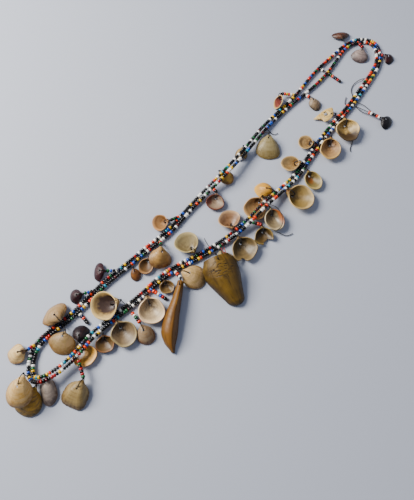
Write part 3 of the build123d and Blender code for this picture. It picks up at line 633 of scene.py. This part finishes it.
def pick(piece, test, kind="verts"):
    """In edit mode, selects the points, open edges or faces of a piece whose middle passes the
    test, and gives their number."""
    middles = {
        "verts": lambda part: part.co,
        "edges": lambda part: (part.verts[0].co + part.verts[1].co) / 2,
        "faces": lambda part: part.calc_center_median(),
    }
    bpy.ops.mesh.select_all(action="DESELECT")
    net = bmesh.from_edit_mesh(piece.data)
    chosen = [part for part in getattr(net, kind)
              if (kind != "edges" or part.is_boundary) and test(middles[kind](part))]
    for part in chosen:
        part.select = True
    if kind == "verts":
        net.select_flush_mode()
    bmesh.update_edit_mesh(piece.data)
    return len(chosen)


def resize(size, about=(0, 0, 0)):
    """In edit mode, resizes what is selected about a point."""
    bpy.ops.transform.resize(value=size, center_override=about)


def cut_out(piece, inside, beside):
    """In edit mode, deletes the faces of a piece that are inside a place, selects the open edge
    beside it, and gives the number of faces."""
    count = pick(piece, inside, "faces")
    if count:
        bpy.ops.mesh.delete(type="FACE")
        bpy.ops.mesh.select_mode(type="EDGE")
        pick(piece, beside, "edges")
        bpy.ops.mesh.select_mode(type="VERT")
    return count


def close_end():
    """In edit mode, closes the last ring of a drawn-out piece and turns its faces outwards."""
    bpy.ops.mesh.edge_face_add()
    bpy.ops.mesh.select_all(action="SELECT")
    bpy.ops.mesh.normals_make_consistent(inside=False)
    close_edit()


def map_growth(piece, spot):
    """The piece's own UV map: how far round and how far along it each point is."""
    layer = piece.data.uv_layers.new(name="growth")
    for loop in piece.data.loops:
        layer.data[loop.index].uv = spot(piece.data.vertices[loop.vertex_index].co)


def give_wall(piece, materials, thickness, worn, thinning=""):
    """Gives a piece its materials, its wall and its worn edges, and shades it smooth."""
    for material in materials:
        piece.data.materials.append(material)
    wall = piece.modifiers.new("wall", "SOLIDIFY")
    wall.thickness = thickness
    wall.offset = -1
    wall.vertex_group = thinning
    wall.material_offset = wall.material_offset_rim = len(materials) - 1
    edge = piece.modifiers.new("worn edge", "BEVEL")
    edge.width = worn.width
    edge.segments = worn.steps
    edge.limit_method = "ANGLE"
    edge.angle_limit = radians(worn.angle)
    for modifier in (wall.name, edge.name):
        bpy.ops.object.modifier_apply(modifier=modifier)
    bpy.ops.object.shade_smooth()


def finish_piece(piece, node):
    """Rides the whole necklace and stands for its solid."""
    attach(piece, "root")
    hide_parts(node)


def place_piece(piece, row):
    """Lays a finished piece on the table as its solid lies, and gives the piece's own frame there
    in millimetres: hinge at the origin, +X to the far edge, +Z out of the crown."""
    heading, lean, roll = radians(row.heading), radians(row.lean), radians(row.roll)
    along = Vector((cos(heading) * cos(lean), sin(heading) * cos(lean), -sin(lean)))
    level = Vector((-sin(heading), cos(heading), 0))
    raised = along.cross(level) * cos(roll) - level * sin(roll)
    if row.name.endswith("_cup"):
        raised = -raised
    turned = Matrix((along, raised.cross(along), raised)).transposed().to_4x4()
    lowest = min((turned @ vertex.co).z for vertex in piece.data.vertices)
    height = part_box(row.name)[0].z / MILLIMETRE - lowest
    matrix = Matrix.Translation((row.x, row.y, height)) @ turned
    piece.matrix_world = TO_METRES @ matrix
    bpy.context.view_layer.update()
    select_only(piece)
    bpy.ops.object.transform_apply(location=True, rotation=True, scale=True)
    finish_piece(piece, row.name)
    return matrix


def grow_valve(shell):
    """One valve, grown ring by ring about its hinge, with its ribs, thread hole and broken edge."""
    rate = growth_rate(shell)
    chance = Random(int(shell.name[6:8]))
    near, widest = mouth(shell)
    front, back, half = shell.length - widest, widest - near, shell.width / 2
    bpy.ops.mesh.primitive_circle_add(vertices=shell.ribs * 4 or RING_POINTS, radius=1)
    piece = bpy.context.object
    piece.name = shell.name[9:]
    edit(piece)
    bpy.ops.mesh.select_all(action="SELECT")
    resize((front, half, 1))
    pick(piece, lambda co: co.x < -1e-5)
    resize((back / front, 1, 1))
    if shell.ribs:
        step = 2 * pi / shell.ribs
        pick(piece, lambda co: abs((atan2(co.y, co.x) / step + 0.5) % 1 - 0.5) < RIB_SHARE)
        resize((1 + shell.rise,) * 3)
    # an uneven outline: a few pushes in and out of the margin
    pushes = [(chance.uniform(-PUSH_TURN, PUSH_TURN), chance.uniform(PUSH_IN, PUSH_OUT))
              for _ in range(PUSHES)]
    for angle, push in pushes + [(radians(turn), out) for turn, out in OUTLINES.get(shell.name, [])]:
        spot = Vector((cos(angle) * (front if cos(angle) > 0 else back), sin(angle) * half, 0))
        pick(piece, lambda co: (co - spot).length < shell.length * PUSH_SHARE)
        bpy.ops.transform.translate(
            value=spot.normalized() * push * shell.length, use_proportional_edit=True,
            proportional_edit_falloff="SMOOTH", proportional_size=shell.length * PUSH_REACH,
            use_proportional_connected=True)
    bpy.ops.mesh.select_all(action="SELECT")
    bpy.ops.transform.translate(value=(widest, 0, 0))
    # growth: each ring is the last one shrunk towards the hinge and turned about it, and some
    # stand proud as ridges
    step = radians(LAST_TURN) / RING_STEPS
    proud = 0.0
    for ring in range(RING_STEPS):
        ridge = 0.0
        if ring < RING_STEPS - SMOOTH_RINGS:
            ridge = chance.choice(RIDGE_HEIGHTS) * RIDGED.get(shell.name, 1)
        shrink = exp(-rate * step) * (1 + ridge) / (1 + proud)
        proud = ridge
        bpy.ops.mesh.extrude_region_move(TRANSFORM_OT_translate={"value": (0, 0, 0)})
        resize((shrink,) * 3)
        bpy.ops.transform.rotate(value=step, orient_axis="Y", center_override=(0, 0, 0))
    close_end()
    mark_growth(piece, shell, rate)
    edit(piece)
    hole_x, hole_z = hole_spot(shell, rate)
    centre = Vector((hole_x, 0, hole_z))
    if cut_out(piece, lambda co: (co - centre).length < HOLE_WIDTH * 0.5,
               lambda co: (co - centre).length < HOLE_WIDTH * 1.3):
        bpy.ops.transform.tosphere(value=0.85)
    along, across, radius = BITES.get(shell.name, (0, 0, 0))
    if radius and cut_out(
            piece, lambda co: hypot(co.x - along, co.y - across) < radius * (0.95 + 0.1 * sin(co.y * 5)),
            lambda co: hypot(co.x - along, co.y - across) < radius * 1.5):
        bpy.ops.mesh.vertices_smooth(factor=0.5, repeat=4)
    close_edit()
    return piece


def mark_growth(piece, shell, rate):
    """The valve's own UV map, round the ring and along the growth, and its wall's thickness."""
    mesh = piece.data
    layer = mesh.uv_layers.new(name="growth")
    wall = piece.vertex_groups.new(name="wall")
    for vertex in mesh.vertices:
        turn, _, scale = ring_place(shell, rate, vertex.co)
        wall.add([vertex.index], max(THINNEST_WALL, scale * min(1.0, MARGIN_WALL + turn)), "REPLACE")
    for face in mesh.polygons:
        spots = []
        for corner in face.loop_indices:
            turn, around, _ = ring_place(shell, rate, mesh.vertices[mesh.loops[corner].vertex_index].co)
            spots.append([corner, around, degrees(turn) / LAST_TURN])
        # a face across the seam of the map has its far corners brought to the near side
        if max(spot[1] for spot in spots) - min(spot[1] for spot in spots) > 0.5:
            for spot in spots:
                spot[1] += 1 if spot[1] < 0 else 0
        for corner, around, along in spots:
            layer.data[corner].uv = (around, along)


def make_shell(shell):
    """A finished shell in its place, with its outside and inside."""
    piece = grow_valve(shell)
    give_wall(piece, [shell_outside(shell), shell_inside(shell)], shell_wall(shell), SHELL_EDGE, "wall")
    return place_piece(piece, shell)


def horn_section(horn, share):
    """Bow, half width and height of a horn at a share of its length, eased between its stations."""
    rows = horn.stations
    last = max(i for i in range(len(rows) - 1) if rows[i].share <= share)
    start, end = rows[last], rows[last + 1]
    before, after = rows[max(last - 1, 0)], rows[min(last + 2, len(rows) - 1)]
    part = (share - start.share) / (end.share - start.share)
    values = []
    for a, b, c, d in zip(before[1:], start[1:], end[1:], after[1:]):
        bend = part * (3 * b - 3 * c + d - a)
        values.append(b + 0.5 * part * (c - a + part * (2 * a - 5 * b + 4 * c - d + bend)))
    return values[0] * horn.width, values[1] * horn.width, values[2] * horn.height


def grow_horn(horn):
    """A horn sheath drawn out section by section from its open end to its tip, ridged near its open end."""
    chance = Random(len(horn.name))
    bow, half_width, height = horn_section(horn, 0)
    bpy.ops.mesh.primitive_circle_add(vertices=HORN_POINTS, radius=1, rotation=(0, pi / 2, 0))
    bpy.ops.object.transform_apply(rotation=True)
    piece = bpy.context.object
    piece.name = horn.name + "_sheath"
    edit(piece)
    pick(piece, lambda co: co.z < -1e-4)
    bpy.ops.mesh.delete(type="VERT")
    bpy.ops.mesh.select_all(action="SELECT")
    resize((1, half_width, height))
    bpy.ops.transform.translate(value=(0, bow, 0))
    # the crest runs off centre, so the sheath has a flatter side
    pick(piece, lambda co: abs(atan2(co.z / height, (co.y - bow) / half_width) - horn.crest) < HORN_CREST)
    bpy.ops.transform.translate(value=(0, 0, HORN_CREST_RISE * height), use_proportional_edit=True,
                                proportional_edit_falloff="SHARP", proportional_size=half_width * 0.9)
    bpy.ops.mesh.select_all(action="SELECT")
    reached, proud = 0.0, 0.0
    for step in range(1, HORN_STEPS + 1):
        share = min(1 - (1 - step / HORN_STEPS) ** 1.2, HORN_TIP)
        reach = share * horn.length
        new_bow, new_half, new_height = horn_section(horn, share)
        ridge = chance.uniform(0, horn.ridge_height) if share < horn.ridge_end else 0.0
        swell = (1 + ridge) / (1 + proud)
        onward = (reach - reached, new_bow - bow, 0)
        bpy.ops.mesh.extrude_region_move(TRANSFORM_OT_translate={"value": onward})
        resize((1, new_half / half_width * swell, new_height / height * swell), (reach, new_bow, 0))
        reached, bow, half_width, height, proud = reach, new_bow, new_half, new_height, ridge
    close_end()

    def spot(co):
        """How far round the arch and how far along the horn a point is."""
        share = co.x / horn.length
        return atan2(co.z, co.y - horn_section(horn, min(max(share, 0), HORN_TIP))[0]) / pi, share

    map_growth(piece, spot)
    return piece


def make_horn(horn, outside, inside):
    """A finished horn sheath in its place."""
    piece = grow_horn(horn)
    give_wall(piece, [outside, inside], HORN_WALL, HORN_EDGE)
    return place_piece(piece, horn)


def make_star(star):
    """The star fragment: worn and flat, with a hole in its middle."""
    centre = STAR_CORNERS[0][1]
    count = len(STAR_CORNERS)
    bpy.ops.mesh.primitive_circle_add(vertices=count, radius=STAR_REACH)
    piece = bpy.context.object
    piece.name = "star_fragment"
    edit(piece)
    for number, (turn, reach) in enumerate(sorted(STAR_CORNERS, key=lambda corner: corner[0] % 360)):
        angle = 2 * pi * number / count
        start = Vector((STAR_REACH * cos(angle), STAR_REACH * sin(angle), 0))
        corner = Vector((reach * cos(radians(turn)), reach * sin(radians(turn)), 0))
        pick(piece, lambda co: (co - start).length < 1e-3)
        bpy.ops.transform.translate(value=corner - start)
    bpy.ops.mesh.select_all(action="SELECT")
    bpy.ops.mesh.bevel(offset=STAR_CORNER, segments=4, affect="VERTICES")
    # from the outline up over a worn shoulder and in to the middle hole
    bpy.ops.mesh.select_all(action="SELECT")
    for size, rise in ((0.9, 0.35), (0.72, 0.2), (0.5, 0.15)):
        bpy.ops.mesh.extrude_region_move(TRANSFORM_OT_translate={"value": (0, 0, rise)})
        resize((size, size, 1))
    bpy.ops.mesh.extrude_region_move(TRANSFORM_OT_translate={"value": (0, 0, -0.1)})
    bpy.ops.transform.tosphere(value=1)
    inner = [vertex.co for vertex in bmesh.from_edit_mesh(piece.data).verts if vertex.select]
    size = STAR_HOLE_RADIUS * len(inner) / sum(hypot(co.x, co.y) for co in inner)
    resize((size, size, 1))
    bpy.ops.mesh.select_all(action="SELECT")
    bpy.ops.mesh.normals_make_consistent(inside=False)
    bpy.ops.transform.translate(value=(centre, 0, STAR_THICKNESS - STAR_SHOULDER))
    close_edit()
    map_growth(piece, lambda co: (atan2(co.y, co.x - centre) / (2 * pi),
                                  hypot(co.x - centre, co.y) / STAR_REACH))
    give_wall(piece, [star_shell()], STAR_THICKNESS - STAR_SHOULDER, STAR_EDGE)
    return place_piece(piece, star)


def string_corners(side):
    """The route's points for one string in metres, beside the loop's centre line."""
    route = [RoutePoint(*(MILLIMETRE * value for value in point)) for point in ROUTE]
    corners = []
    for before, here, after in zip(route[-1:] + route[:-1], route, route[1:] + route[:1]):
        arrive = Vector((here.x - before.x, here.y - before.y, 0)).normalized()
        leave = Vector((after.x - here.x, after.y - here.y, 0)).normalized()
        outward = Vector((arrive.y + leave.y, -arrive.x - leave.x, 0)).normalized()
        offset = side * here.spacing / 2 / outward.dot(Vector((leave.y, -leave.x, 0)))
        corners.append(Vector((here.x, here.y, here.height)) + outward * offset)
    return corners


def draw_line(name, points, closed, thread=None):
    """A smooth line drawn by control points in metres, bare or as a thread."""
    curve = bpy.data.curves.new(name, "CURVE")
    curve.dimensions = "3D"
    curve.resolution_u = 8
    curve.bevel_depth = THREAD_WIDTH * MILLIMETRE / 2 if thread else 0.0
    curve.bevel_resolution = 1
    curve.use_fill_caps = bool(thread) and not closed
    spline = curve.splines.new("NURBS")
    spline.points.add(len(points) - 1)
    for point, place in zip(spline.points, points):
        point.co = (*place, 1)
    spline.order_u = 3
    spline.use_cyclic_u = closed
    spline.use_endpoint_u = not closed
    holder = bpy.data.objects.new(name, curve)
    bpy.context.collection.objects.link(holder)
    mesh = bpy.data.meshes.new_from_object(holder)
    bpy.data.objects.remove(holder)
    if thread:
        mesh.materials.append(thread)
    line = bpy.data.objects.new(name, mesh)
    bpy.context.collection.objects.link(line)
    return line


def walk(points, pitch, closed):
    """Places and directions at an even pitch along a line of points."""
    ends = points[1:] + points[:1] if closed else points[1:]
    whole = sum((end - start).length for start, end in zip(points, ends))
    pitch = whole / round(whole / pitch)
    spots, left = [], pitch / 2
    for start, end in zip(points, ends):
        length = (end - start).length
        while left < length:
            spots.append((start.lerp(end, left / length), end - start))
            left += pitch
        left -= length
    return spots


def join_smooth(parts, name):
    """Joins several pieces into one of this name, shaded smooth, with their places in its mesh."""
    select_only(*parts)
    bpy.ops.object.join()
    parts[0].name = name
    bpy.ops.object.transform_apply(location=True, rotation=True, scale=True)
    bpy.ops.object.shade_smooth()
    return parts[0]


def model_bead():
    """One seed bead: a short cut of glass tube, its rims rounded and its hole sunk in both ends."""
    bpy.ops.mesh.primitive_cylinder_add(vertices=12, radius=BEAD_WIDTH / 2, depth=BEAD_LENGTH)
    bead = bpy.context.object
    bead.name = "seed_bead"
    edit(bead)
    bpy.ops.mesh.select_mode(type="FACE")
    pick(bead, lambda co: abs(co.z) > BEAD_LENGTH * 0.45, "faces")
    bpy.ops.mesh.bevel(offset=BEAD_RIM, segments=1)
    pick(bead, lambda co: abs(co.z) > BEAD_LENGTH * 0.49, "faces")
    bpy.ops.mesh.inset(thickness=BEAD_HOLE_INSET)
    resize((1, 1, 0.7))
    close_edit()
    bpy.ops.object.shade_smooth()
    return bead


def turn_thread(radius, steps, sides, **placing):
    """One turn of thread."""
    bpy.ops.mesh.primitive_torus_add(major_radius=radius, minor_radius=THREAD_WIDTH / 2,
                                     major_segments=steps, minor_segments=sides, **placing)
    return bpy.context.object


def model_knot():
    """A small thread knot: three turns wound about each other, drawn tight."""
    turns = [turn_thread(radius, 14, 7, rotation=(tilt, spin, 0))
             for tilt, spin, radius in ((0.2, 0.0, 0.40), (1.2, 1.0, 0.36), (-1.1, 2.2, 0.38))]
    knot = join_smooth(turns, "thread_knot")
    edit(knot)
    bpy.ops.mesh.select_all(action="SELECT")
    resize((1.0, 0.85, 0.9))
    close_edit()
    return knot


def model_wrap():
    """Two turns of thread round the string, side by side between its beads."""
    return join_smooth([turn_thread(0.93, 18, 6, location=(0, 0, aside), rotation=(0.12, aside, 0))
                        for aside in (-0.16, 0.2)], "thread_wrap")


def model_ring(radius):
    """Two turns of thread through a shell's hole, pinched where they meet the knot."""
    turns = []
    for turn in (-0.07, 0.09):
        ring = turn_thread(radius, 36, 7, rotation=(pi / 2, 0, 0))
        bpy.ops.object.transform_apply(rotation=True)
        edit(ring)
        pick(ring, lambda co: co.x > 0)
        bpy.ops.transform.rotate(value=turn, orient_axis="Z", center_override=(0, 0, 0))
        close_edit()
        turns.append(ring)
    return join_smooth(turns, "thread_ring")


def copy_piece(model, material, matrix):
    """A copy of a modelled piece with its own mesh, in its own colour and place, in metres."""
    twin = model.copy()
    twin.data = model.data.copy()
    twin.data.materials.clear()
    twin.data.materials.append(material)
    twin.matrix_world = matrix
    bpy.context.collection.objects.link(twin)
    return twin


def at(place, direction):
    """The frame of a small piece modelled in millimetres, at a place in metres, its +Z to a direction."""
    turned = direction.normalized().to_track_quat("Z", "Y").to_matrix().to_4x4()
    return Matrix.Translation(place) @ turned @ TO_METRES


def bead_places(spots, chance):
    """Where beads sit on their thread, each a little turned, tilted and of its own size."""
    places = []
    for spot, direction in spots:
        tilt = Matrix.Rotation(chance.gauss(0, 0.07), 4, "X")
        spin = Matrix.Rotation(chance.uniform(0, 6.28), 4, "Z")
        width = chance.uniform(0.92, 1.0)
        size = Matrix.Diagonal((width, width, chance.uniform(0.85, 1.03), 1))
        places.append(at(spot, direction) @ tilt @ spin @ size)
    return places


def string_pattern(count, chance):
    """Bead colours along a string: runs of black with one or two coloured beads between them."""
    names, weights = list(ACCENTS), list(ACCENTS.values())
    pattern = []
    while len(pattern) < count:
        pattern += ["black"] * chance.choice((0, 1, 1, 1, 2, 2, 3, 4))
        pattern += chance.choices(names, weights, k=chance.choice((1, 1, 2, 2, 3)))
    return pattern[:count]


def hold(piece):
    """The thread loop of a piece in its own frame: its centre and radius."""
    if piece in HORNS:
        start, follow = piece.stations[:2]
        way = HORN_HOLE_INSET / (follow.share * piece.length)
        height = piece.height * (start.height + (follow.height - start.height) * way) - HORN_WALL / 2
        return Vector((HORN_HOLE_INSET - HORN_LOOP_RADIUS, 0, height)), HORN_LOOP_RADIUS
    if piece is STAR:
        return Vector((STAR_HOLE_INSET - STAR_LOOP_RADIUS, 0, STAR_THICKNESS / 2)), STAR_LOOP_RADIUS
    rate = growth_rate(piece)
    hole_x, hole_z = hole_spot(piece, rate, shell_wall(piece) * sqrt(1 + rate**2) / 2)
    centre_x = LOOP_CENTRE_SHARE * hole_x
    rise = hole_z + LOOP_BELOW
    radius = ((hole_x - centre_x) ** 2 + rise**2) / (2 * rise)
    return Vector((centre_x, 0, radius - LOOP_BELOW)), radius


def make_string(string, side):
    """One bead string with its thread, drops, rings, knots and loose threads."""
    chance = Random(10 + side)
    corners = string_corners(side)
    black = threads["black"]
    parts = [draw_line("string_thread", corners, True, black)]
    guide = draw_line("string_guide", corners, True)
    track = [vertex.co.copy() for vertex in guide.data.vertices]
    bpy.data.objects.remove(guide)
    spots = walk(track, BEAD_PITCH * MILLIMETRE, True)
    for place, colour in zip(bead_places(spots, chance), string_pattern(len(spots), chance)):
        parts.append(copy_piece(bead, glasses[colour], place))

    def tie(start, end, colours):
        """A drop: the thread from the string to its end, the beads on it and the knot there."""
        parts.append(draw_line("drop_thread", [start, start.lerp(end, 0.5), end], False, black))
        if colours:
            way = (end - start).normalized()
            last = end - way * DROP_END_GAP * MILLIMETRE
            room = (last - start).length - BEAD_WIDTH * 0.45 * MILLIMETRE
            first = last - way * min(room, (len(colours) + 1.5) * BEAD_PITCH * MILLIMETRE)
            steps = walk([first, last], BEAD_PITCH * MILLIMETRE, False)
            for number, place in enumerate(bead_places(steps, chance)):
                parts.append(copy_piece(bead, glasses[colours[number % len(colours)]], place))
        parts.append(copy_piece(knot, black, Matrix.Translation(end) @ TO_METRES))

    for piece in SHELLS + HORNS + [STAR]:
        if piece.string != string:
            continue
        centre, radius = hold(piece)
        place = TO_METRES @ matrices[piece.name] @ Matrix.Translation(centre)
        ring = model_ring(radius)
        parts.append(copy_piece(ring, black, place))
        bpy.data.objects.remove(ring)
        far = place @ Vector((-radius, 0, 0))
        # the drop leaves the string at its nearest point, or so far along from there as it leads
        step = min(range(len(track)), key=lambda number: (track[number] - far).length)
        along = 0.0
        while along < abs(piece.lead) * MILLIMETRE:
            onward = (step + (1 if piece.lead > 0 else -1)) % len(track)
            along += (track[onward] - track[step]).length
            step = onward
        tie(track[step], far, DROPS.get(piece.name, "").split())
        direction = track[(step + 1) % len(track)] - track[step - 1]
        parts.append(copy_piece(wrap, black, at(track[step], direction)))
    for drop in BARE_DROPS:
        if drop.string == string:
            start = Vector((*drop.start, 0)) * MILLIMETRE
            leave = min(track, key=lambda spot: (spot - start).length)
            tie(leave, Vector((*drop.end, DROP_END_HEIGHT)) * MILLIMETRE, drop.colours.split())
    for loose in LOOSE_THREADS:
        if loose.string == string:
            points = [Vector(point) * MILLIMETRE for point in loose.points]
            parts.append(draw_line("loose_thread", points, False, threads[loose.colour]))
    finish_piece(join_smooth(parts, "string_" + string), "bead_string_" + string)


def look_along(piece, direction):
    """Turns a camera or a lamp to look along a direction."""
    piece.rotation_euler = Vector(direction).to_track_quat("-Z", "Y").to_euler()


matrices = {shell.name: make_shell(shell) for shell in SHELLS}
slim_horn = horn_surface("slim_horn", "#72480a", "#523406", "#2b1a04", "#8c641c", 0.0)
broad_horn = horn_surface("broad_horn", "#6a4e10", "#382608", "#181004", "#8c6c22", 1.0)
hollow = horn_surface("horn_hollow", "#5a3f22", "#3c2814", "#1c120a", "#6a4a2a", 0.0)
for horn, surface in zip(HORNS, (slim_horn, broad_horn)):
    matrices[horn.name] = make_horn(horn, surface, hollow)
matrices[STAR.name] = make_star(STAR)

glasses = {name: glass(name, code) for name, code in BEAD_COLOURS.items()}
threads = {"black": waxed_thread("black", "#1a1512"), "red": waxed_thread("red", "#8a1c18")}
bead, knot, wrap = model_bead(), model_knot(), model_wrap()
make_string("outer", 1)
make_string("inner", -1)
for model in (bead, knot, wrap):
    bpy.data.objects.remove(model)

bpy.ops.object.camera_add(location=CAMERA_PLACE)
camera = bpy.context.object
look_along(camera, CAMERA_AIM)
camera.data.lens = CAMERA_LENS
camera.data.clip_start = 0.01
bpy.context.scene.camera = camera

bpy.ops.mesh.primitive_plane_add(size=3, location=(0, 0, -0.0002))
floor = bpy.context.object
floor.name = "floor"
material, tree = new_material("pale_table")
finish_surface(tree, {"Base Color": linear("#aeb3bf"), "Roughness": 0.7})
floor.data.materials.append(material)

for row in LAMPS:
    bpy.ops.object.light_add(type="AREA", location=row.place)
    lamp = bpy.context.object
    lamp.name = row.name
    lamp.data.size = row.size
    lamp.data.energy = row.energy
    lamp.data.color = (1.0, 0.97, 0.92)
    look_along(lamp, -Vector(row.place))
world = bpy.data.worlds.new("room")
world.use_nodes = True
background = world.node_tree.nodes["Background"]
background.inputs[0].default_value = linear("#c2d2f8")
background.inputs[1].default_value = 0.32
bpy.context.scene.world = world
